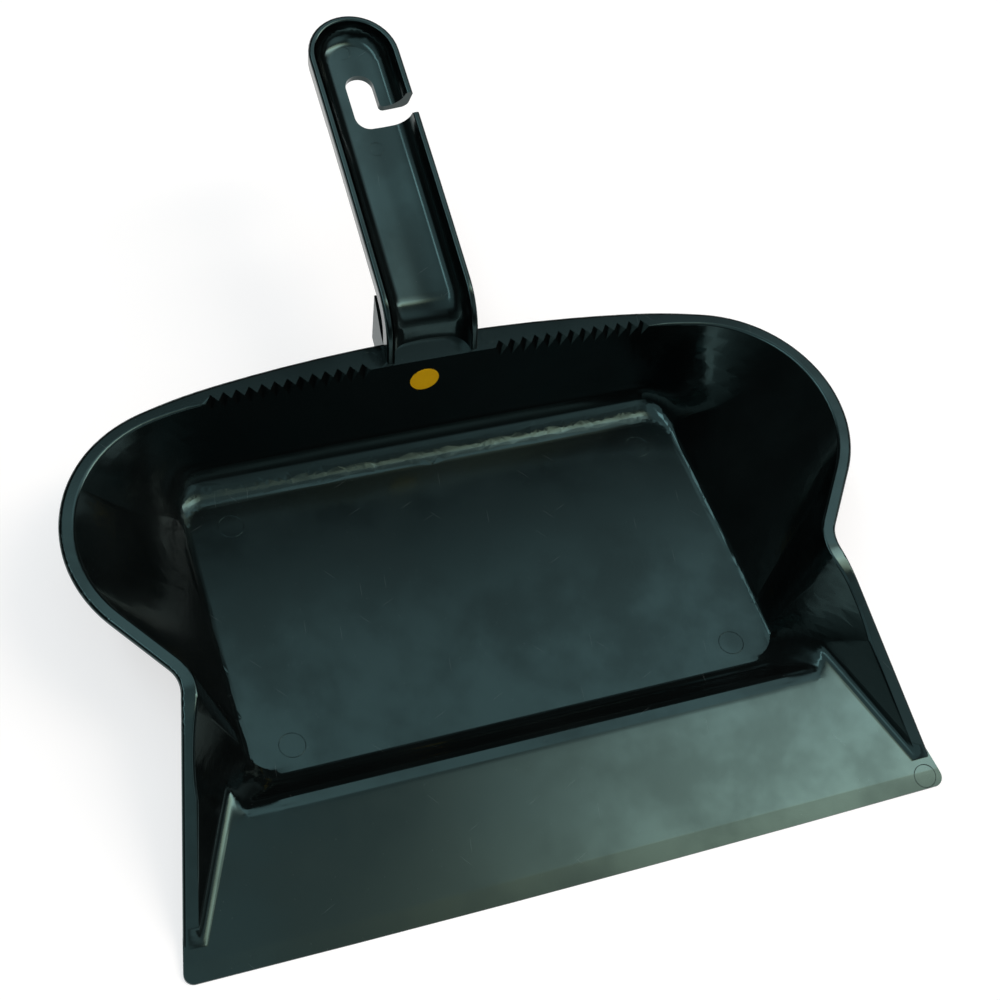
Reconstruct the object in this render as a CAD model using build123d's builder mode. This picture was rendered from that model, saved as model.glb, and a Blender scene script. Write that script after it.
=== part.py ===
import os
from math import asin, atan, atan2, cos, degrees, radians, sin, sqrt, tan

from build123d import *

# Dustpan moulded in one piece, with a round label on its back wall.
# The origin is under the middle of the floor, +Y runs to the handle and +Z is up, in millimetres.

# Floor of the basin, measured where its top meets the walls
floor_length = 113.4
floor_taper = 6
floor_front_corner = 12
floor_back_corner = 9
wall = 2.4
ear_wall = 3.1
back_wall = 2.9
flank_share = 0.08
waist_share = 0.05
floor_fillet = 7
side_fillet = 5

# Lip: a ramp from the sweeping edge up to a crest in front of the floor
lip_reach = 69.4
lip_edge = 1.1
lip_bevel = 6
lip_bevel_drop = 0.5
lip_bow = 1.1
lip_corner = 3.6
crest_spread = 16
crest_setback = 18
crest_height = 12
crest_round = 4
ramp_fillet = 6
side_start = 11
side_taper = 12.7

# Rim, seen from the side: steep along the lip, nearly level round the ears and the back
knee_setback = 14.1
knee_height = 44.3
knee_radius = 45
back_height = 50.35
rim_width = 5.4
rim_thickness = 3
rim_round = 1.4

# Rim, seen from above
waist_radius = 12.4
flank_angle = 35.4
ear_half_width = 158
ear_flare = 50.25
ear_overhang = 7.85
ear_setback = 82
ear_radius = 54.4
crease_angle = 30
back_bow = 5.97
back_arc_inset = 72.5

# Ledge behind the basin, with a comb on each side of the handle
ledge_setback = 22.3
ledge_width = 11.4
ledge_bow = 2.09
comb_count = 13
comb_pitch = 5.1
comb_start = 26
comb_depth = 3.4
comb_drop = 5

# Handle: an upward-open channel that rises from the ledge and bends back
handle_width = 37.9
handle_depth = 11.4
handle_draft = 0.6
handle_wall = 3
handle_dish = 1.8
handle_corner = 3.5
handle_setback = 0.75
handle_lean = 70
handle_tilt = 14.2
handle_rise = 7.4
handle_bend_radius = 24
gusset_reach = 9.4
gusset_rise = 3
gusset_drop = 16
handle_length = 106.2
handle_crown_radius = 2190
flange_round = 1.2
web_fillet = 8

# Hang slot: a leg along the handle and a mouth through its right flange
slot_x = 0.4
slot_width = 11.7
slot_length = 25.5
slot_mouth = 9.4
slot_corner = 6
slot_end_flat = 0.2
slot_tongue_round = 1.8
slot_end_wall = 24

# Label on the back wall
label_diameter = 12
label_thickness = 0.25
label_x = -3
label_height = 39.2

# Widths that follow from the ears
floor_front_width = 2 * (ear_half_width - ear_flare)
floor_back_width = floor_front_width - floor_taper
crest_width = floor_front_width + 2 * crest_spread
lip_width = 2 * (ear_half_width - ear_overhang)
back_arc_half_width = ear_half_width - back_arc_inset
back_radius = (back_arc_half_width**2 + back_bow**2) / (2 * back_bow)
ledge_radius = (back_arc_half_width**2 + ledge_bow**2) / (2 * ledge_bow)

# Places that follow from the sizes above
floor_front = -floor_length / 2
floor_back = floor_length / 2
lip_y = floor_front - lip_reach
tip_y = lip_y - lip_bow
crest_y = floor_front - crest_setback
knee_y = floor_front + knee_setback
side_y = lip_y + side_start
bevel_y = lip_y + lip_bevel
ear_y = floor_front + ear_setback
ear_x = ear_half_width - ear_radius
ledge_y = floor_back + ledge_setback
back_y = ledge_y + ledge_width
beyond_y = back_y + ledge_width
ramp_slope = (crest_height - lip_edge) / (crest_y - lip_y)
ramp_drop = wall / cos(atan(ramp_slope))
ground_y = lip_y + (ramp_drop - lip_edge) / ramp_slope
rim_slope = (back_height - knee_height) / (back_y - knee_y)
front_slope = (crest_height - wall) / crest_setback
side_heading = side_taper - 90
flank_heading = -90 - flank_angle
tall = 3 * back_height


def rim_height(y):
    return knee_height + rim_slope * (y - knee_y)


def ramp_height(y):
    return lip_edge + ramp_slope * (y - lip_y)


def heading(angle):
    return Vector(cos(radians(angle)), sin(radians(angle)))


def meet(start, start_angle, other, other_angle):
    # Where a line from start and a line from other cross, in plan
    along = heading(start_angle)
    across = heading(other_angle + 90)
    return start + along * ((other - start).dot(across) / along.dot(across))


def in_plan(point):
    return Vector(point.X, point.Y)


def outer_side(inset, y):
    # A point on the side of the mouth, in plan
    x = lip_width / 2 - (y - lip_y) * tan(radians(side_taper)) - inset / cos(radians(side_taper))
    return Vector(x, y)


def mirrored(plane):
    # The same plane on the other side of the middle
    origin = plane.origin
    normal = plane.z_dir
    return Plane(origin=(-origin.X, origin.Y, origin.Z), z_dir=(-normal.X, normal.Y, normal.Z))


def both_halves(half):
    # Face inside a chain of edges for +X and its mirror image, with every edge kept
    return Face(Wire([*half, *[edge.mirror(Plane.YZ) for edge in half]]))


def waist_corner(inset, side_point, side_angle):
    # Where flank and mouth side would cross, in plan, and how far from there the waist's arc ends
    flank_start = Vector(ear_x, ear_y) + heading(-flank_angle) * (ear_radius - inset)
    corner = meet(flank_start, flank_heading, side_point, side_angle)
    return corner, (waist_radius + inset) * tan(radians(side_angle - flank_heading) / 2)


def rim_outline(inset, back, arc_radius, side_point, side_angle, front):
    # Back arc, shoulder, ear, flank, waist and mouth side, drawn for +X and mirrored
    turn = degrees(asin(back_arc_half_width / arc_radius))
    radius = ear_radius - inset
    centre = Vector(ear_x, ear_y)
    corner, cut_back = waist_corner(inset, side_point, side_angle)
    with BuildLine():
        rear = JernArc((0, back), (1, 0), arc_radius, -turn)
        inward = heading(-turn - 90)
        gap = rear @ 1 - centre
        shoulder_radius = (radius**2 - gap.dot(gap)) / (2 * (gap.dot(inward) + radius))
        hub = rear @ 1 + inward * shoulder_radius
        ear_start = degrees(atan2((centre - hub).X, (centre - hub).Y))
        shoulder = JernArc(rear @ 1, rear % 1, shoulder_radius, turn - ear_start)
        ear_rear = JernArc(shoulder @ 1, shoulder % 1, radius, ear_start + crease_angle - 90)
        ear_front = JernArc(ear_rear @ 1, ear_rear % 1, radius, -crease_angle - flank_angle)
        flank = Line(ear_front @ 1, corner - heading(flank_heading) * cut_back)
        waist = JernArc(flank @ 1, flank % 1, waist_radius + inset, side_angle - flank_heading)
        mouth = Line(waist @ 1, meet(corner, side_angle, Vector(0, front), 0))
        lip = Line(mouth @ 1, (0, front))
    return both_halves([rear, shoulder, ear_rear, ear_front, flank, waist, mouth, lip])


def floor_outline(gap):
    # Same number of edges as the rim, so that each wall runs from one edge to its partner
    front_half = floor_front_width / 2 + gap
    back_half = floor_back_width / 2 + gap
    front_y = floor_front - gap
    back_edge = floor_back + gap
    side_turn = degrees(atan2(back_edge - front_y, front_half - back_half))
    back_corner = floor_back_corner + gap
    front_corner = floor_front_corner + gap
    with BuildLine():
        trim = back_corner * tan(radians(side_turn) / 2)
        rear = Line((0, back_edge), (back_half - trim, back_edge))
        shoulder = JernArc(rear @ 1, rear % 1, back_corner, -side_turn / 2)
        ear_rear = JernArc(shoulder @ 1, shoulder % 1, back_corner, -side_turn / 2)
        front_trim = front_corner * tan(radians(180 - side_turn) / 2)
        side_end = Vector(front_half, front_y) - heading(-side_turn) * front_trim
        side = side_end - ear_rear @ 1
        ear_front = Line(ear_rear @ 1, side_end - side * (flank_share + waist_share))
        flank = Line(ear_front @ 1, side_end - side * waist_share)
        waist = Line(flank @ 1, side_end)
        corner = JernArc(waist @ 1, waist % 1, front_corner, side_turn - 180)
        lip = Line(corner @ 1, (0, front_y))
    return both_halves([rear, shoulder, ear_rear, ear_front, flank, waist, corner, lip])


def trough(half, depth, corner, lean):
    # Dish and round corner of one half of a trough; gives back where its side starts
    dish_radius = (half**2 + handle_dish**2) / (2 * handle_dish)
    dish_turn = degrees(asin((half - corner) / (dish_radius - corner)))
    dish = JernArc((0, depth), (1, 0), dish_radius, -dish_turn)
    bend = JernArc(dish @ 1, dish % 1, corner, dish_turn + lean - 90)
    return bend @ 1


def channel_section():
    # Dished web between two round-topped flanges, with the tops on the plane's X axis
    half = handle_width / 2
    inner_half = half - handle_wall
    lean = degrees(atan(handle_draft / handle_depth))
    with BuildSketch() as section:
        with BuildLine():
            outer_start = trough(half - handle_draft, handle_depth, handle_corner, lean)
            outside = Line(outer_start, (half, flange_round))
            outer_round = JernArc(outside @ 1, (0, -1), flange_round, -90)
            flange_top = Line(outer_round @ 1, (inner_half + flange_round, 0))
            inner_round = JernArc(flange_top @ 1, flange_top % 1, flange_round, -90)
            Line(inner_round @ 1, trough(inner_half, handle_depth - handle_wall, web_fillet, 0))
            mirror(about=Plane.YZ)
        make_face()
    return section.sketch


def bent_end(start, angle, turn, radius):
    # End of an arc in the YZ plane that leaves start at an angle and turns down
    after = radians(angle - turn)
    before = radians(angle)
    return start + Vector(0, sin(before) - sin(after), cos(after) - cos(before)) * radius


# Plane of the rim over the basin, and the lean of the back wall
rim_plane = Plane(origin=(0, 0, rim_height(0)), x_dir=(1, 0, 0), z_dir=(0, -rim_slope, 1))
wall_top = rim_plane.from_local_coords(Vector(0, ledge_y, 0))
back_slope = (wall_top.Y - floor_back) / (wall_top.Z - wall)


def back_wall_y(z):
    # Inner face of the back wall at the middle of the pan
    return floor_back + (z - wall) * back_slope


# Inner side planes of the mouth, through the rim at both ends and the end of the crest
side_foot = outer_side(rim_width, side_y)
side_knee = outer_side(rim_width, knee_y)
foot = Vector(side_foot.X, side_foot.Y, ramp_height(side_y))
knee = Vector(side_knee.X, side_knee.Y, knee_height)
crest_end = Vector(crest_width / 2, crest_y, crest_height)
side_normal = (crest_end - foot).cross(knee - foot).normalized()
side_inner = Plane(origin=foot, z_dir=side_normal)
side_outer = Plane(origin=foot + side_normal * wall, z_dir=side_normal)

# Where the basin's front slope would meet the rim plane
front_top_rise = wall - knee_height + front_slope * floor_front + rim_slope * knee_y
front_top_y = front_top_rise / (rim_slope + front_slope)
front_top = Vector(0, front_top_y, rim_height(front_top_y))
side_run = side_normal.Y * (front_top.Y - foot.Y) + side_normal.Z * (front_top.Z - foot.Z)
front_top_x = foot.X - side_run / side_normal.X
basin_side = Vector(side_knee.X, side_knee.Y)
basin_heading = degrees(atan2(front_top_y - knee_y, front_top_x - side_knee.X))

# Inside of the basin, from the floor to above the rim
space_foot = Plane.XY.offset(wall).location * floor_outline(0)
space_rim = rim_plane.location * rim_outline(
    rim_width, ledge_y, ledge_radius, basin_side, basin_heading, front_top_y
)
with BuildPart() as basin_space:
    loft([space_foot, space_rim], ruled=True)
    extrude(space_rim, amount=tall, dir=(0, 0, 1))

# The same form one wall larger
body_foot = floor_outline(wall / 2)
body_rim = rim_plane.location * rim_outline(
    rim_width - ear_wall,
    ledge_y + back_wall,
    ledge_radius,
    basin_side + heading(basin_heading + 90) * wall,
    basin_heading,
    front_top_y - wall,
)
with BuildPart() as basin_body:
    loft([body_foot, body_rim], ruled=True)

# Space above the ramp, between the inner sides of the mouth, as far back as the waist's arc
basin_corner, corner_reach = waist_corner(rim_width, basin_side, basin_heading)
waist_y = (basin_corner + heading(basin_heading) * corner_reach).Y
with BuildPart() as mouth_space:
    with BuildSketch(Plane.YZ):
        with BuildLine():
            front_y = lip_y - lip_reach
            Polyline(
                (front_y, ramp_height(front_y)),
                (waist_y, ramp_height(waist_y)),
                (waist_y, tall),
                (front_y, tall),
                close=True,
            )
        make_face()
    extrude(amount=lip_width, both=True)
    split(bisect_by=side_inner, keep=Keep.BOTTOM)
    split(bisect_by=mirrored(side_inner), keep=Keep.BOTTOM)
    side_spot = (foot + crest_end) / 2
    side_spots = [side_spot, Vector(-side_spot.X, side_spot.Y, side_spot.Z)]
    fillet([edges().sort_by_distance(spot)[0] for spot in side_spots], ramp_fillet)

# Ramp and mouth sides, solid up to the rim line, with the lip standing on the ground
with BuildPart() as mouth_body:
    with BuildSketch(Plane.YZ):
        with BuildLine():
            Polyline(
                (tip_y, 0),
                (ground_y, 0),
                (knee_y, ramp_height(knee_y) - ramp_drop),
                (knee_y, knee_height),
                (side_y, ramp_height(side_y)),
                (bevel_y, ramp_height(bevel_y)),
                (tip_y, ramp_height(tip_y) - lip_bevel_drop),
                close=True,
            )
        make_face()
    extrude(amount=lip_width, both=True)
    split(bisect_by=side_outer, keep=Keep.BOTTOM)
    split(bisect_by=mirrored(side_outer), keep=Keep.BOTTOM)
    with BuildSketch(Plane.YZ):
        with BuildLine():
            plate_y = side_y + rim_width
            Polyline(
                (tip_y, 0),
                (ground_y, 0),
                (plate_y, ramp_height(plate_y) - ramp_drop),
                (plate_y, ramp_height(plate_y)),
                (bevel_y, ramp_height(bevel_y)),
                (tip_y, ramp_height(tip_y) - lip_bevel_drop),
                close=True,
            )
        make_face()
    extrude(amount=lip_width / 2, both=True)
    with BuildSketch():
        with BuildLine():
            front = ThreePointArc((-lip_width / 2, lip_y), (0, tip_y), (lip_width / 2, lip_y))
            rear_point = outer_side(0, knee_y)
            Polyline(front @ 1, rear_point, (-rear_point.X, rear_point.Y), front @ 0)
        make_face()
        fillet(vertices().group_by(Axis.Y)[0], lip_corner)
    extrude(amount=tall, mode=Mode.INTERSECT)

# Rim flange and back ledge: a band that follows the rim line, cut to the outline from above
rim_points = [(side_y, ramp_height(side_y)), (knee_y, knee_height), (beyond_y, rim_height(beyond_y))]
rim_outer = rim_outline(0, back_y, back_radius, outer_side(0, side_y), side_heading, tip_y)
rim_inner = rim_outline(rim_width, ledge_y, ledge_radius, outer_side(rim_width, side_y), side_heading, tip_y)
with BuildPart() as rim:
    extrude(rim_outer, amount=tall, dir=(0, 0, 1))
    extrude(rim_inner, amount=tall, dir=(0, 0, 1), mode=Mode.SUBTRACT)
    with BuildSketch(Plane.YZ):
        with BuildLine():
            upper = FilletPolyline(rim_points, radius=knee_radius)
            offset(upper, amount=rim_thickness, side=Side.RIGHT)
        make_face()
    extrude(amount=lip_width, both=True, mode=Mode.INTERSECT)
    outline = rim_outer.outer_wire()
    long_edges = [edge for edge in edges() if edge.length > rim_width]
    outer_edges = [edge for edge in long_edges if outline.distance_to(in_plan(edge @ 0.5)) < rim_round]
    fillet(outer_edges, rim_round)

# All that is over the rim line
with BuildPart() as above_rim:
    with BuildSketch(Plane.YZ):
        with BuildLine():
            upper = FilletPolyline(rim_points, radius=knee_radius)
            Polyline(upper @ 1, (beyond_y, tall), (side_y, tall), upper @ 0)
        make_face()
    extrude(amount=lip_width, both=True)

# Handle channel, swept from under the ledge to the middle of its round end
root_y = ledge_y + handle_setback
root = Vector(0, root_y, rim_height(root_y))
half_width = handle_width / 2
lean = Vector(0, cos(radians(handle_lean)), sin(radians(handle_lean)))
rise_end = root + lean * handle_rise
bend_end = bent_end(rise_end, handle_lean, handle_lean - handle_tilt, handle_bend_radius)
crown_turn = degrees(handle_length / handle_crown_radius)
crown_end = bent_end(bend_end, handle_tilt, crown_turn, handle_crown_radius)
with BuildPart() as handle:
    with BuildLine() as handle_path:
        rise = Line(root - lean * half_width, rise_end)
        bend = TangentArc(rise @ 1, bend_end, tangent=rise % 1)
        crown = TangentArc(bend @ 1, crown_end, tangent=bend % 1)
    start_plane = Plane(origin=rise @ 0, x_dir=(1, 0, 0), z_dir=rise % 0)
    with BuildSketch(start_plane):
        add(channel_section())
    sweep(path=handle_path.line)
    end_plane = Plane(origin=crown @ 1, x_dir=(1, 0, 0), z_dir=crown % 1)
    with BuildSketch(end_plane):
        add(channel_section())
        Rectangle(handle_width, handle_width, align=(Align.MAX, Align.CENTER), mode=Mode.SUBTRACT)
    revolve(axis=Axis(end_plane.origin, -end_plane.y_dir), revolution_arc=180)
    split(bisect_by=rim_plane.offset(-rim_thickness), keep=Keep.TOP)
    web_middle = handle_depth - handle_wall / 2
    bend_plane = Plane(origin=bend_end, x_dir=(1, 0, 0), z_dir=bend % 1)
    gusset_top = bend_end + bend_plane.z_dir * gusset_rise + bend_plane.y_dir * web_middle
    gusset_start = rise_end + start_plane.y_dir * web_middle
    gusset_foot = rim_height(ledge_y) - gusset_drop
    for side in (-1, 1):
        with BuildSketch(Plane.YZ.offset(side * (half_width - handle_draft))):
            with BuildLine():
                Polyline(
                    (gusset_top.Y, gusset_top.Z),
                    (gusset_start.Y, gusset_start.Z),
                    (ledge_y + wall, rim_height(ledge_y) - rim_thickness / 2),
                    (back_wall_y(gusset_foot) + wall / 2, gusset_foot),
                    (back_y + gusset_reach, rim_height(back_y) - gusset_drop / 2),
                    close=True,
                )
            make_face()
        extrude(amount=-side * handle_wall)
    slot_plane = Plane(origin=crown_end, x_dir=(1, 0, 0), z_dir=-end_plane.y_dir)
    slot_end_y = half_width - slot_end_wall
    slot_start_y = slot_end_y - slot_length
    slot_half = slot_width / 2
    slot_round = slot_half - slot_end_flat / 2
    mouth_end_y = slot_start_y + slot_mouth
    with BuildSketch(slot_plane):
        with BuildLine():
            FilletPolyline(
                (handle_width, slot_start_y),
                (slot_x - slot_half, slot_start_y),
                (slot_x - slot_half, slot_end_y),
                (slot_x + slot_half, slot_end_y),
                (slot_x + slot_half, mouth_end_y),
                (handle_width, mouth_end_y),
                radius=(0, slot_corner, slot_round, slot_round, slot_tongue_round, 0),
                close=True,
            )
        make_face()
    extrude(amount=handle_width, both=True, mode=Mode.SUBTRACT)

# Valleys of the comb, cut from the ledge's inner edge down into the back wall
valley_run = comb_depth + comb_drop * back_slope
valley_angle = degrees(atan2(comb_drop, valley_run))
valley_length = sqrt(valley_run**2 + comb_drop**2)
with BuildPart() as comb:
    for number in range(comb_count):
        x = comb_start + (number + 0.5) * comb_pitch
        edge_y = ledge_y - ledge_radius + sqrt(ledge_radius**2 - x**2)
        for side in (-1, 1):
            valley_top = Vector(side * x, edge_y + comb_depth, rim_height(edge_y + comb_depth))
            along = Vector(0, cos(radians(valley_angle)), sin(radians(valley_angle)))
            valley_plane = Plane(origin=valley_top, x_dir=(1, 0, 0), z_dir=along)
            with BuildSketch(valley_plane):
                reach = comb_depth * sin(radians(valley_angle))
                with BuildLine():
                    Polyline(
                        (0, 0),
                        (comb_pitch / 2, -reach),
                        (comb_pitch / 2, -reach - comb_depth),
                        (-comb_pitch / 2, -reach - comb_depth),
                        (-comb_pitch / 2, -reach),
                        close=True,
                    )
                make_face()
            extrude(amount=2 * valley_length, both=True)

# Pan, handle and comb; one half of the pan gets its soft corners and is mirrored
soft_edges = [
    (Vector(crest_width / 4, crest_y, crest_height), crest_round),
    (Vector(floor_back_width / 4, floor_back, wall), floor_fillet),
    (Vector(floor_front_width / 4, floor_front, wall), floor_fillet),
    (Vector((floor_front_width + floor_back_width) / 4, 0, wall), side_fillet),
]
with BuildPart() as dustpan_moulding:
    add(basin_body.part)
    add(mouth_body.part)
    add(rim.part)
    add(basin_space.part, mode=Mode.SUBTRACT)
    add(mouth_space.part, mode=Mode.SUBTRACT)
    add(above_rim.part, mode=Mode.SUBTRACT)
    extrude(rim_outer, amount=tall, dir=(0, 0, 1), mode=Mode.INTERSECT)
    split(bisect_by=Plane.YZ, keep=Keep.TOP)
    for spot, radius in soft_edges:
        fillet(edges().sort_by_distance(spot)[0], radius)
    mirror(about=Plane.YZ)
    add(handle.part)
    add(comb.part, mode=Mode.SUBTRACT)

# Label, seated on the back wall
wall_angle = atan(back_slope)
wall_normal = Vector(0, -cos(wall_angle), sin(wall_angle))
label_y = back_wall_y(label_height)
with BuildPart() as round_label:
    label_plane = Plane(origin=(label_x, label_y, label_height), x_dir=(1, 0, 0), z_dir=wall_normal)
    with BuildSketch(label_plane.offset(-wall / 2)):
        Circle(label_diameter / 2)
    extrude(amount=wall / 2 + label_thickness)
    add(dustpan_moulding.part, mode=Mode.SUBTRACT)

os.makedirs("parts", exist_ok=True)
dustpan_moulding.part.label = "dustpan_moulding"
export_step(dustpan_moulding.part, "parts/dustpan_moulding.step")
round_label.part.label = "round_label"
export_step(round_label.part, "parts/round_label.step")
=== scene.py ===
import math

import bmesh
import bpy
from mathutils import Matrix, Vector


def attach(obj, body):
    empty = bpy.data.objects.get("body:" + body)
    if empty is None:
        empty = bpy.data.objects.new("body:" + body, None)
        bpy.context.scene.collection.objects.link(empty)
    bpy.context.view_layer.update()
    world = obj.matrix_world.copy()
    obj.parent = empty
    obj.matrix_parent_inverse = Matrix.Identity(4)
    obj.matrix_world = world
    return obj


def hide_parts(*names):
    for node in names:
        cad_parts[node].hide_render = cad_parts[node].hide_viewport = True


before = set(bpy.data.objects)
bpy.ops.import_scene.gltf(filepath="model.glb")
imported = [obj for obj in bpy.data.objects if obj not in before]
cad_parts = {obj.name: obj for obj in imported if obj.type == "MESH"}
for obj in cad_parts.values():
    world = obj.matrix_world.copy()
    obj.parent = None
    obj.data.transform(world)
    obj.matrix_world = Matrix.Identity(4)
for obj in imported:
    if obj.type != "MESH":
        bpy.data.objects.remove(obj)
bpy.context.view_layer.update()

scene = bpy.context.scene
scene.view_settings.view_transform = "Standard"
floorTop = 2.4      # mm, the level of the pan's floor
mergeGap = 1e-6     # m, corners nearer to each other than this are one
cutGap = 1e-7       # m, corners nearer to a cut than this lie on it


def toLinear(hexColour):
    parts = [int(hexColour[i:i + 2], 16) / 255 for i in (1, 3, 5)]
    return tuple(c / 12.92 if c <= 0.04045 else ((c + 0.055) / 1.055) ** 2.4 for c in parts) + (1.0,)


# A number as key is a socket's place, as on a colour Mix: factor 0, colours 6 and 7, result 2
def addNode(tree, kind, inputs=None, **settings):
    node = tree.nodes.new(kind)
    for name, value in settings.items():
        setattr(node, name, value)
    for key, value in (inputs or {}).items():
        if isinstance(value, bpy.types.NodeSocket):
            tree.links.new(value, node.inputs[key])
        else:
            node.inputs[key].default_value = value
    return node


def newMaterial(name):
    material = bpy.data.materials.new(name)
    material.use_nodes = True
    material.node_tree.nodes.clear()
    return material, material.node_tree


def perMetre(millimetres):
    return 1000 / millimetres


# Carbon-filled polypropylene, injection moulded: near black with a cool satin sheen, slightly
# uneven in gloss, with short hair-fine scratches and a few specks of dust on the level faces.
# Sizes and depths are in mm
plastic = {
    "body": "#060808",
    "rubbed": "#0A0D0D",
    "mark": "#7C8888",
    "markStrength": 0.16,
    "sheen": "#C2FFFF",
    "ior": 1.49,
    "cloudSize": 38,
    "cloudDetail": 4.0,
    "cloudRoughness": 0.6,
    # where in the cloud pattern each of these begins and ends, and its value there
    "clouds": {
        "rubbed": (0.4, 0.72, 0.0, 1.0),
        "roughness": (0.3, 0.72, 0.12, 0.2),
        "shine": (0.38, 0.66, 0.56, 0.43),
    },
    "bumps": (
        {"size": 70, "depth": 0.16, "detail": 1.0},     # slow waves
        {"size": 0.5, "depth": 0.004, "detail": 2.0},   # grain, coarser than the real one so that it shows
    ),
    "scratch": {"width": 0.16, "length": 8, "spacing": 7, "core": 0.4, "turns": (24, -52, 81)},
    "speck": {"width": 0.35, "spacing": 13, "core": 0.5},
}


def addMarks(tree, place, mark):
    inputs = {"Vector": place, "Scale": perMetre(mark["spacing"]), "Randomness": 1.0}
    far = addNode(tree, "ShaderNodeTexVoronoi", inputs, voronoi_dimensions="2D").outputs["Distance"]
    edge = mark["width"] / mark["spacing"] / 2
    inputs = {"Value": far, "From Min": mark["core"] * edge, "From Max": edge, "To Min": 1.0, "To Max": 0.0}
    return addNode(tree, "ShaderNodeMapRange", inputs, interpolation_type="SMOOTHSTEP").outputs["Result"]


def addScuffs(tree, place):
    marks = addMarks(tree, place, plastic["speck"])
    scratch = plastic["scratch"]
    stretch = (scratch["length"] / scratch["width"], 1.0, 1.0)
    for turn in scratch["turns"]:
        inputs = {"Vector": place, "Rotation": (0, 0, math.radians(turn)), "Scale": stretch}
        turned = addNode(tree, "ShaderNodeMapping", inputs, vector_type="TEXTURE").outputs["Vector"]
        inputs = {0: marks, 1: addMarks(tree, turned, scratch)}
        marks = addNode(tree, "ShaderNodeMath", inputs, operation="MAXIMUM").outputs["Value"]
    # the moulding's own attribute: 1 on level faces, 0 on steep ones
    level = addNode(tree, "ShaderNodeAttribute", attribute_name="level").outputs["Fac"]
    for share in (level, plastic["markStrength"]):
        marks = addNode(tree, "ShaderNodeMath", {0: marks, 1: share}, operation="MULTIPLY").outputs["Value"]
    return marks


def makePlastic():
    material, tree = newMaterial("satinPolypropylene")
    place = addNode(tree, "ShaderNodeTexCoord").outputs["Object"]
    inputs = {
        "Vector": place, "Scale": perMetre(plastic["cloudSize"]),
        "Detail": plastic["cloudDetail"], "Roughness": plastic["cloudRoughness"],
    }
    pattern = addNode(tree, "ShaderNodeTexNoise", inputs).outputs["Fac"]
    clouds = {}
    for use, (low, high, start, end) in plastic["clouds"].items():
        inputs = {"Value": pattern, "From Min": low, "From Max": high, "To Min": start, "To Max": end}
        ramp = addNode(tree, "ShaderNodeMapRange", inputs, interpolation_type="SMOOTHSTEP")
        clouds[use] = ramp.outputs["Result"]
    inputs = {0: clouds["rubbed"], 6: toLinear(plastic["body"]), 7: toLinear(plastic["rubbed"])}
    worn = addNode(tree, "ShaderNodeMix", inputs, data_type="RGBA").outputs[2]
    inputs = {0: addScuffs(tree, place), 6: worn, 7: toLinear(plastic["mark"])}
    colour = addNode(tree, "ShaderNodeMix", inputs, data_type="RGBA").outputs[2]
    facing = {}
    for bump in plastic["bumps"]:
        inputs = {"Vector": place, "Scale": perMetre(bump["size"]), "Detail": bump["detail"]}
        height = addNode(tree, "ShaderNodeTexNoise", inputs).outputs["Fac"]
        inputs = {"Height": height, "Strength": 1.0, "Distance": bump["depth"] / 1000, **facing}
        facing = {"Normal": addNode(tree, "ShaderNodeBump", inputs).outputs["Normal"]}
    inputs = {
        "Base Color": colour, "Roughness": clouds["roughness"], "IOR": plastic["ior"],
        "Specular IOR Level": clouds["shine"], "Specular Tint": toLinear(plastic["sheen"]), **facing,
    }
    shader = addNode(tree, "ShaderNodeBsdfPrincipled", inputs)
    addNode(tree, "ShaderNodeOutputMaterial", {"Surface": shader.outputs["BSDF"]})
    return material


# Die-cut vinyl: an even warm yellow with a soft shine and slightly darker, rubbed patches. Size in mm
label = {
    "yellow": "#FFC814",
    "shade": "#F0B40A",
    "roughness": 0.45,
    "shine": 0.25,
    "cloudSize": 3,
    "cloudDetail": 3.0,
}


def makeVinyl():
    material, tree = newMaterial("yellowVinyl")
    place = addNode(tree, "ShaderNodeTexCoord").outputs["Object"]
    inputs = {"Vector": place, "Scale": perMetre(label["cloudSize"]), "Detail": label["cloudDetail"]}
    clouds = addNode(tree, "ShaderNodeTexNoise", inputs).outputs["Fac"]
    inputs = {0: clouds, 6: toLinear(label["yellow"]), 7: toLinear(label["shade"])}
    colour = addNode(tree, "ShaderNodeMix", inputs, data_type="RGBA").outputs[2]
    inputs = {"Base Color": colour, "Roughness": label["roughness"], "Specular IOR Level": label["shine"]}
    shader = addNode(tree, "ShaderNodeBsdfPrincipled", inputs)
    addNode(tree, "ShaderNodeOutputMaterial", {"Surface": shader.outputs["BSDF"]})
    return material


polypropylene = makePlastic()
vinyl = makeVinyl()
print("materials made")


def easeBetween(value, low, high):
    share = min(1.0, max(0.0, (value - low) / (high - low)))
    return share * share * (3 - 2 * share)


def cutAlong(work, places, across):
    for place in places:
        parts = work.verts[:] + work.edges[:] + work.faces[:]
        spot = Vector(across) * (place / 1000)
        bmesh.ops.bisect_plane(work, geom=parts, dist=cutGap, plane_co=spot, plane_no=across)


# The rim's inner edge, rounded in the visual copy. The comb and what lies behind it keep their edges
rim = {
    "round": 0.9,           # mm
    "steps": 3,
    "turn": (40, 100),      # degrees between the two faces of an edge
    "level": 0.6,           # how far one of them faces up at least
    "lowest": 8,            # mm, above the lip
    "back": 80,             # mm
    "combHalf": 95,         # mm
    "combFront": 70,        # mm
}


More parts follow.
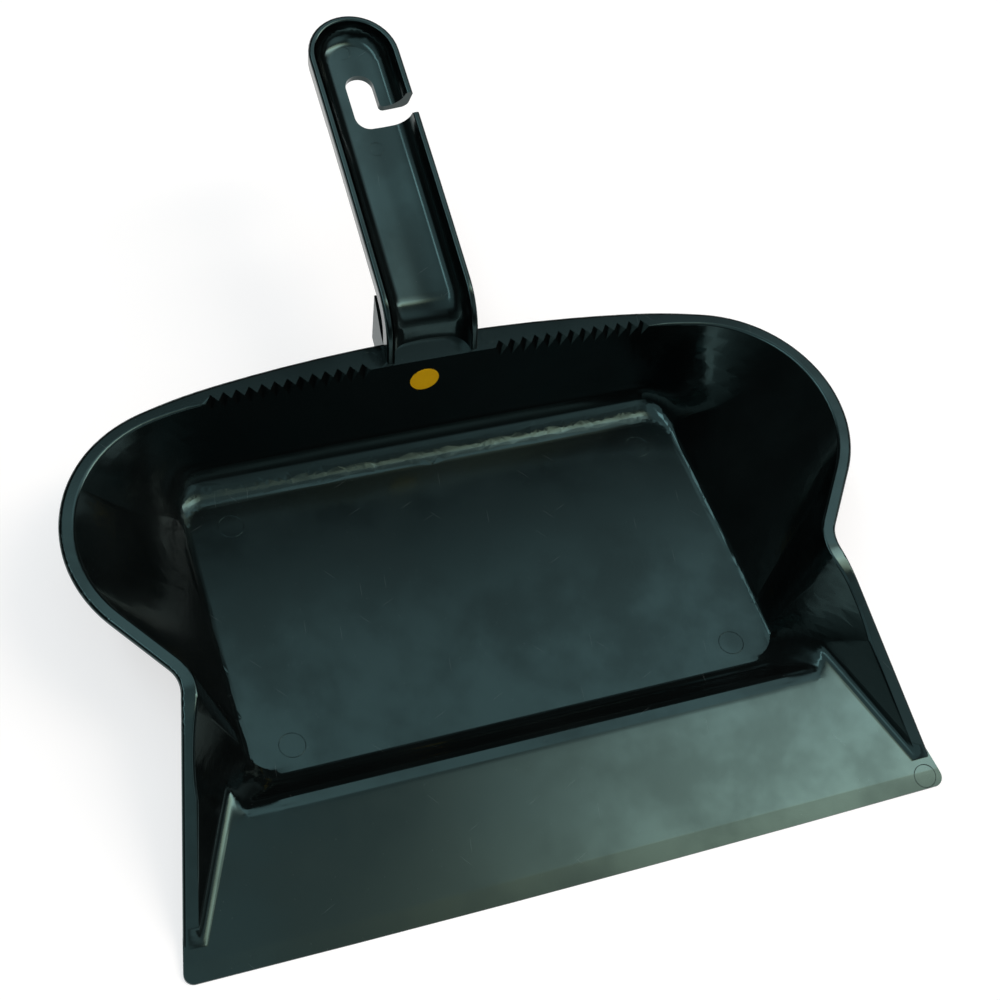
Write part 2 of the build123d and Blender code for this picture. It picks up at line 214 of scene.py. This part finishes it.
def roundRim(work):
    least, most = rim["turn"]
    edges = []
    for edge in work.edges:
        x, y, z = (edge.verts[0].co + edge.verts[1].co) / 2 * 1000
        comb = y > rim["combFront"] and abs(x) < rim["combHalf"]
        level = max((face.normal.z for face in edge.link_faces), default=0)
        turn = math.degrees(edge.calc_face_angle(0))
        if z > rim["lowest"] and y < rim["back"] and not comb:
            if edge.is_convex and least < turn < most and level > rim["level"]:
                edges.append(edge)
    bmesh.ops.bevel(
        work, geom=edges, offset=rim["round"] / 1000, offset_type="OFFSET", segments=rim["steps"],
        profile=0.5, affect="EDGES", clamp_overlap=False,
    )


# The inside of the back wall in mm. The solid's wall leans evenly over a small fillet. The real one
# is steeper over a large round, so the visual copy is bent to that between floor and rim
backWall = {
    "rimHeight": 50.35,
    "rimReach": 79.0,
    "solid": {"lean": 24.9, "radius": 7.0},
    "real": {"lean": 8.0, "radius": 14.0},
    "sideFade": (98, 132),
    "frontFade": (28, 52),
    "backFade": (82, 98),
    "roundStep": 6,         # degrees
    "wallStep": 6.0,
}


def wallReach(height, form):
    lean, radius = math.radians(form["lean"]), form["radius"]
    rise = max(0.0, height - floorTop)
    if rise >= radius * (1 - math.sin(lean)):
        return backWall["rimReach"] - math.tan(lean) * (backWall["rimHeight"] - height)
    corner = backWall["rimReach"] - math.tan(lean) * (backWall["rimHeight"] - floorTop)
    foot = corner - radius * math.tan(math.pi / 4 - lean / 2)
    return foot + math.sqrt(radius ** 2 - (radius - rise) ** 2)


def cutLevels(work):
    radius = backWall["real"]["radius"]
    turns = range(backWall["roundStep"], 90, backWall["roundStep"])
    levels = [floorTop + radius * (1 - math.cos(math.radians(turn))) for turn in turns]
    while levels[-1] < backWall["rimHeight"] - backWall["wallStep"]:
        levels.append(levels[-1] + backWall["wallStep"])
    cutAlong(work, levels, (0, 0, 1))


def bendWall(work):
    for vert in work.verts:
        x, y, z = vert.co * 1000
        if z < backWall["rimHeight"]:
            share = 1 - easeBetween(abs(x), *backWall["sideFade"])
            share *= easeBetween(y, *backWall["frontFade"]) * (1 - easeBetween(y, *backWall["backFade"]))
            shift = wallReach(z, backWall["real"]) - wallReach(z, backWall["solid"])
            vert.co.y += share * shift / 1000


# The ridge between ramp and floor in mm. The solid's slope runs evenly from the crest to the floor. The
# real ridge has a level top and a steeper slope, so the visual copy is raised or lowered to that
ridge = {
    "crestHeight": 12.0,
    "crestLine": -74.7,
    "rampSlope": 0.212,
    # where the section bends, and how far the round reaches to each side
    "topFront": {"line": -76.3, "reach": 1.6},
    "topBack": {"line": -69.7, "reach": 2.2},
    "foot": {"line": -62.0, "reach": 4.0},
    "back": -52.0,
    "side": 124,
    "sideFade": (94, 108),
    "step": 1.0,
    "sideSteps": (90, 94, 98, 101, 104, 106, 108, 110, 112, 114, 116, 118, 120),
    "upward": 0.2,          # how far a corner of the upper side faces up at least
}


def ridgeHeight(y):
    front, back, foot = (ridge[name] for name in ("topFront", "topBack", "foot"))
    top = ridge["crestHeight"] + ridge["rampSlope"] * (front["line"] - ridge["crestLine"])
    fall = (top - floorTop) / (foot["line"] - back["line"])
    height = top + ridge["rampSlope"] * (y - front["line"])
    for corner, bend in ((front, -ridge["rampSlope"]), (back, -fall), (foot, fall)):
        apart, reach = y - corner["line"], corner["reach"]
        height += bend * max(0.0, apart)
        height += bend * max(0.0, reach - abs(apart)) ** 2 / (4 * reach)
    return height


def raiseRidge(work):
    low = ridge["topFront"]["line"] - ridge["topFront"]["reach"]
    high = ridge["back"]
    count = round((high - low) / ridge["step"]) + 1
    cutAlong(work, [low + index * ridge["step"] for index in range(count)], (0, 1, 0))
    for hand in (-1, 1):
        cutAlong(work, ridge["sideSteps"], (hand, 0, 0))
    work.normal_update()
    for vert in work.verts:
        x, y, z = vert.co * 1000
        if vert.normal.z > ridge["upward"] and low < y < high and abs(x) < ridge["side"]:
            height = ridgeHeight(y)
            height += max(0.0, z - height) * easeBetween(abs(x), *ridge["sideFade"])
            vert.co.z = height / 1000


# The ends of the crest, where ramp, slope and side wall meet: eased in the visual copy. Sizes in mm
crestEnd = {"place": (114, -71, 12), "reach": 12, "passes": 20, "share": 0.5}


def easeCrestEnds(work):
    across, along, height = crestEnd["place"]
    ends = [Vector((hand * across, along, height)) / 1000 for hand in (-1, 1)]
    reach = crestEnd["reach"] / 1000
    above = [vert for vert in work.verts if vert.normal.z > ridge["upward"]]
    near = [vert for vert in above if min((vert.co - end).length for end in ends) < reach]
    for index in range(crestEnd["passes"]):
        bmesh.ops.smooth_vert(
            work, verts=near, factor=crestEnd["share"], use_axis_x=True, use_axis_y=True, use_axis_z=True,
        )


# The moulding: the CAD surface with its loose triangles joined, shaded smooth over its rounds, where
# the broadest face at a corner sets the shading so that flat walls stay flat beside thin strips
moulding = {
    "flatAngle": 0.3,       # degrees
    "joinAngle": 5,         # degrees
    "sharpAngle": 40,       # degrees
    "level": (0.7, 0.9),    # how far a face points up where scuffs begin and where all show
}


def gatherFaces(start, left, limit, around=None):
    found = [start]
    for face in found:
        for edge in around.link_edges if around else face.edges:
            if face in edge.link_faces and edge.calc_face_angle(math.pi) < limit:
                for other in edge.link_faces:
                    if other in left:
                        left.discard(other)
                        found.append(other)
    return found


def evenNormals(work):
    work.normal_update()
    work.faces.index_update()
    work.verts.index_update()
    weight = {}
    left = set(work.faces)
    for face in work.faces:
        if face in left:
            left.discard(face)
            region = gatherFaces(face, left, math.radians(moulding["joinAngle"]))
            breadth = sum(part.calc_area() for part in region)
            weight.update((part, breadth * part.calc_area()) for part in region)
    corner = {}
    for vert in work.verts:
        left = set(vert.link_faces)
        for face in vert.link_faces:
            if face in left:
                left.discard(face)
                fan = gatherFaces(face, left, math.radians(moulding["sharpAngle"]), vert)
                normal = sum((part.normal * weight[part] for part in fan), Vector()).normalized()
                corner.update(((part.index, vert.index), normal) for part in fan)
    return [corner[face.index, vert.index] for face in work.faces for vert in face.verts]


def addPiece(name, mesh, material, node=None):
    mesh.name = name
    mesh.materials.clear()
    mesh.materials.append(material)
    piece = bpy.data.objects.new(name, mesh)
    scene.collection.objects.link(piece)
    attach(piece, "root")
    if node:
        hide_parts(node)


def makeMoulding():
    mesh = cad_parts["dustpan_moulding"].data.copy()
    work = bmesh.new()
    work.from_mesh(mesh)
    bmesh.ops.remove_doubles(work, verts=work.verts, dist=mergeGap)
    flat = math.radians(moulding["flatAngle"])
    bmesh.ops.dissolve_limit(work, angle_limit=flat, verts=work.verts, edges=work.edges)
    roundRim(work)
    cutLevels(work)
    bendWall(work)
    raiseRidge(work)
    easeCrestEnds(work)
    normals = evenNormals(work)
    work.to_mesh(mesh)
    work.free()
    mesh.shade_smooth()
    mesh.normals_split_custom_set(normals)
    level = [easeBetween(face.normal.z, *moulding["level"]) for face in mesh.polygons]
    mesh.attributes.new("level", "FLOAT", "FACE")
    mesh.attributes["level"].data.foreach_set("value", level)
    addPiece("moulding", mesh, polypropylene, "dustpan_moulding")


def makeLabel():
    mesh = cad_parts["round_label"].data.copy()
    work = bmesh.new()
    work.from_mesh(mesh)
    bmesh.ops.remove_doubles(work, verts=work.verts, dist=mergeGap)
    bendWall(work)
    work.to_mesh(mesh)
    work.free()
    mesh.shade_flat()
    addPiece("roundLabel", mesh, vinyl, "round_label")


makeMoulding()
makeLabel()
print("moulding and label made")

# Faint raised rings that the ejector pins leave: place and facing on the surface, and width, in mm
pinMarks = {
    "rings": (
        ((-87.4, 50, floorTop), (0, 0, 1), 10),
        ((-90, -48, floorTop), (0, 0, 1), 10),
        ((87.4, 50, floorTop), (0, 0, 1), 10),
        ((90, -48, floorTop), (0, 0, 1), 10),
        ((-24.6, 84.3, 50.07), (0, -0.045, 0.999), 5.5),    # on the ledge
        ((24.6, 84.3, 50.07), (0, -0.045, 0.999), 5.5),
        ((142.4, -121.6, 1.95), (0, -0.272, 0.962), 9),     # on the lip
        ((-2.2, 210.2, 88.76), (0, -0.28, 0.96), 6),        # in the handle
        ((-0.5, 165.0, 78.9), (0, -0.22, 0.975), 6),
    ),
    "ridgeShare": 0.03,     # of half a ring's width
    "ringSteps": 48,
    "ridgeSteps": 8,
}


def makeRingTree():
    tree = bpy.data.node_groups.new("ringMarks", "GeometryNodeTree")
    tree.interface.new_socket("Geometry", in_out="INPUT", socket_type="NodeSocketGeometry")
    tree.interface.new_socket("Geometry", in_out="OUTPUT", socket_type="NodeSocketGeometry")
    kinds = {"Ridge Share": "Float", "Ring Steps": "Int", "Ridge Steps": "Int", "Finish": "Material"}
    sockets = {}
    for name, kind in kinds.items():
        socket = tree.interface.new_socket(name, in_out="INPUT", socket_type="NodeSocket" + kind)
        sockets[name] = socket.identifier
    given = addNode(tree, "NodeGroupInput").outputs
    ring = addNode(
        tree, "GeometryNodeCurvePrimitiveCircle",
        {"Resolution": given["Ring Steps"], "Radius": 1.0},
    )
    section = addNode(
        tree, "GeometryNodeCurvePrimitiveCircle",
        {"Resolution": given["Ridge Steps"], "Radius": given["Ridge Share"]},
    )
    torus = addNode(
        tree, "GeometryNodeCurveToMesh",
        {"Curve": ring.outputs["Curve"], "Profile Curve": section.outputs["Curve"]},
    )
    aim = addNode(tree, "GeometryNodeInputNamedAttribute", {"Name": "aim"}, data_type="FLOAT_VECTOR")
    span = addNode(tree, "GeometryNodeInputNamedAttribute", {"Name": "span"}, data_type="FLOAT")
    turn = addNode(tree, "FunctionNodeAlignRotationToVector", {"Vector": aim.outputs["Attribute"]}, axis="Z")
    points = addNode(tree, "GeometryNodeMeshToPoints", {"Mesh": given["Geometry"]})
    placed = addNode(
        tree, "GeometryNodeInstanceOnPoints",
        {"Points": points.outputs["Points"], "Instance": torus.outputs["Mesh"],
         "Rotation": turn.outputs["Rotation"], "Scale": span.outputs["Attribute"]},
    )
    real = addNode(tree, "GeometryNodeRealizeInstances", {"Geometry": placed.outputs["Instances"]})
    dressed = addNode(
        tree, "GeometryNodeSetMaterial",
        {"Geometry": real.outputs["Geometry"], "Material": given["Finish"]},
    )
    addNode(tree, "NodeGroupOutput", {"Geometry": dressed.outputs["Geometry"]})
    return tree, sockets


def makePinMarks():
    seeds = bpy.data.meshes.new("pinSeeds")
    seeds.from_pydata([Vector(place) / 1000 for place, facing, width in pinMarks["rings"]], [], [])
    seeds.attributes.new("aim", "FLOAT_VECTOR", "POINT")
    seeds.attributes.new("span", "FLOAT", "POINT")
    for index, (place, facing, width) in enumerate(pinMarks["rings"]):
        seeds.attributes["aim"].data[index].vector = facing
        seeds.attributes["span"].data[index].value = width / 2 / 1000
    carrier = bpy.data.objects.new("pinSeeds", seeds)
    scene.collection.objects.link(carrier)
    tree, sockets = makeRingTree()
    rings = carrier.modifiers.new("rings", "NODES")
    rings.node_group = tree
    rings[sockets["Ridge Share"]] = pinMarks["ridgeShare"]
    rings[sockets["Ring Steps"]] = pinMarks["ringSteps"]
    rings[sockets["Ridge Steps"]] = pinMarks["ridgeSteps"]
    rings[sockets["Finish"]] = polypropylene
    ready = carrier.evaluated_get(bpy.context.evaluated_depsgraph_get())
    mesh = bpy.data.meshes.new_from_object(ready)
    bpy.data.objects.remove(carrier)
    mesh.shade_smooth()
    addPiece("pinMarks", mesh, polypropylene)


makePinMarks()
print("ejector marks made")

# Plain pale floor that stays white to the eye and keeps a light shadow, under soft boxes of light
studio = {
    "floorSize": 60.0,      # m
    "floorColour": "#B4B4B4",
    "floorRoughness": 0.9,
    "floorGlow": "#FFFFFF",
    "floorLift": 0.64,
    "horizon": "#949898",
    "air": "#262A2A",
    "horizonDepth": 0.4,
    "leastRise": 0.05,
    # middle, half size and softness of each box are slopes x/z and y/z of the direction to it
    "boxes": (
        {
            "colour": "#FFF4EE", "strength": 12.4,
            "middle": (1.06, -0.06), "half": (0.71, 0.05), "soft": (0.16, 0.29),
        },
        {
            "colour": "#FFDCB4", "strength": 3.0,
            "middle": (0.85, -0.2), "half": (0.55, 0.13), "soft": (0.2, 0.015),
        },
        {
            "colour": "#F2FAFF", "strength": 0.8,
            "middle": (-0.42, -0.27), "half": (0.62, 0.82), "soft": (0.1, 0.05),
        },
        {
            "colour": "#F2FAFF", "strength": 4.5,
            "middle": (-0.38, 0.1), "half": (0.08, 0.5), "soft": (0.05, 0.2),
        },
        {
            "colour": "#F2FAFF", "strength": 2.05,
            "middle": (0.52, 0.37), "half": (0.32, 0.185), "soft": (0.58, 0.05),
        },
        {
            "colour": "#F6FBFF", "strength": 1.0,
            "middle": (1.2, -1.1), "half": (0.8, 0.6), "soft": (0.5, 0.5),
        },
    ),
}


def makeStage():
    half = studio["floorSize"] / 2
    corners = [(-half, -half, 0), (half, -half, 0), (half, half, 0), (-half, half, 0)]
    mesh = bpy.data.meshes.new("studioFloor")
    mesh.from_pydata(corners, [], [(0, 1, 2, 3)])
    floor = bpy.data.objects.new("studioFloor", mesh)
    scene.collection.objects.link(floor)
    material, tree = newMaterial("paleFloor")
    rays = addNode(tree, "ShaderNodeLightPath").outputs
    seen = rays["Is Camera Ray"]
    for name in ("Is Glossy Ray", "Is Transmission Ray"):
        inputs = {0: seen, 1: rays[name]}
        seen = addNode(tree, "ShaderNodeMath", inputs, operation="MAXIMUM").outputs["Value"]
    lift = addNode(tree, "ShaderNodeMath", {0: seen, 1: studio["floorLift"]}, operation="MULTIPLY")
    inputs = {
        "Base Color": toLinear(studio["floorColour"]), "Roughness": studio["floorRoughness"],
        "Specular IOR Level": 0.0, "Emission Color": toLinear(studio["floorGlow"]),
        "Emission Strength": lift.outputs["Value"],
    }
    shader = addNode(tree, "ShaderNodeBsdfPrincipled", inputs)
    addNode(tree, "ShaderNodeOutputMaterial", {"Surface": shader.outputs["BSDF"]})
    mesh.materials.append(material)


def addSoftbox(tree, slopes, box):
    light = box["strength"]
    for slope, middle, half, soft in zip(slopes, box["middle"], box["half"], box["soft"]):
        apart = addNode(tree, "ShaderNodeMath", {0: slope, 1: middle}, operation="SUBTRACT").outputs["Value"]
        apart = addNode(tree, "ShaderNodeMath", {0: apart}, operation="ABSOLUTE").outputs["Value"]
        inputs = {
            "Value": apart, "From Min": half - soft, "From Max": half + soft,
            "To Min": 1.0, "To Max": 0.0,
        }
        share = addNode(tree, "ShaderNodeMapRange", inputs, interpolation_type="SMOOTHSTEP")
        inputs = {0: share.outputs["Result"], 1: light}
        light = addNode(tree, "ShaderNodeMath", inputs, operation="MULTIPLY").outputs["Value"]
    return light


def makeLights():
    world = bpy.data.worlds.new("studioDome")
    scene.world = world
    world.use_nodes = True
    tree = world.node_tree
    tree.nodes.clear()
    direction = addNode(tree, "ShaderNodeTexCoord").outputs["Generated"]
    parts = addNode(tree, "ShaderNodeSeparateXYZ", {0: direction}).outputs
    inputs = {0: parts["Z"], 1: studio["leastRise"]}
    height = addNode(tree, "ShaderNodeMath", inputs, operation="MAXIMUM").outputs["Value"]
    slopes = []
    for axis in ("X", "Y"):
        slope = addNode(tree, "ShaderNodeMath", {0: parts[axis], 1: height}, operation="DIVIDE")
        slopes.append(slope.outputs["Value"])
    inputs = {"Value": parts["Z"], "From Min": 0.0, "From Max": studio["horizonDepth"]}
    rise = addNode(tree, "ShaderNodeMapRange", inputs, interpolation_type="SMOOTHSTEP").outputs["Result"]
    inputs = {0: rise, 6: toLinear(studio["horizon"]), 7: toLinear(studio["air"])}
    colour = addNode(tree, "ShaderNodeMix", inputs, data_type="RGBA").outputs[2]
    glow = addNode(tree, "ShaderNodeBackground", {"Color": colour, "Strength": 1.0}).outputs[0]
    for box in studio["boxes"]:
        inputs = {"Color": toLinear(box["colour"]), "Strength": addSoftbox(tree, slopes, box)}
        lit = addNode(tree, "ShaderNodeBackground", inputs).outputs[0]
        glow = addNode(tree, "ShaderNodeAddShader", {0: glow, 1: lit}).outputs[0]
    addNode(tree, "ShaderNodeOutputWorld", {"Surface": glow})


makeStage()
makeLights()
print("floor and lights set")

# Camera where the photograph was taken from: place in m, turn in degrees, lens and sensor in mm
view = {
    "place": (-0.22313, -0.35384, 0.65449),
    "turn": (34.2803, -8.9861, -19.1026),
    "lens": 70.688,
    "sensor": 36,
    "farthest": 100,        # m
}
camera = bpy.data.objects.new("photoCamera", bpy.data.cameras.new("photoCamera"))
camera.data.sensor_fit = "HORIZONTAL"
camera.data.sensor_width = view["sensor"]
camera.data.lens = view["lens"]
camera.data.clip_end = view["farthest"]
camera.location = view["place"]
camera.rotation_euler = [math.radians(angle) for angle in view["turn"]]
scene.collection.objects.link(camera)
scene.camera = camera
print("camera placed")
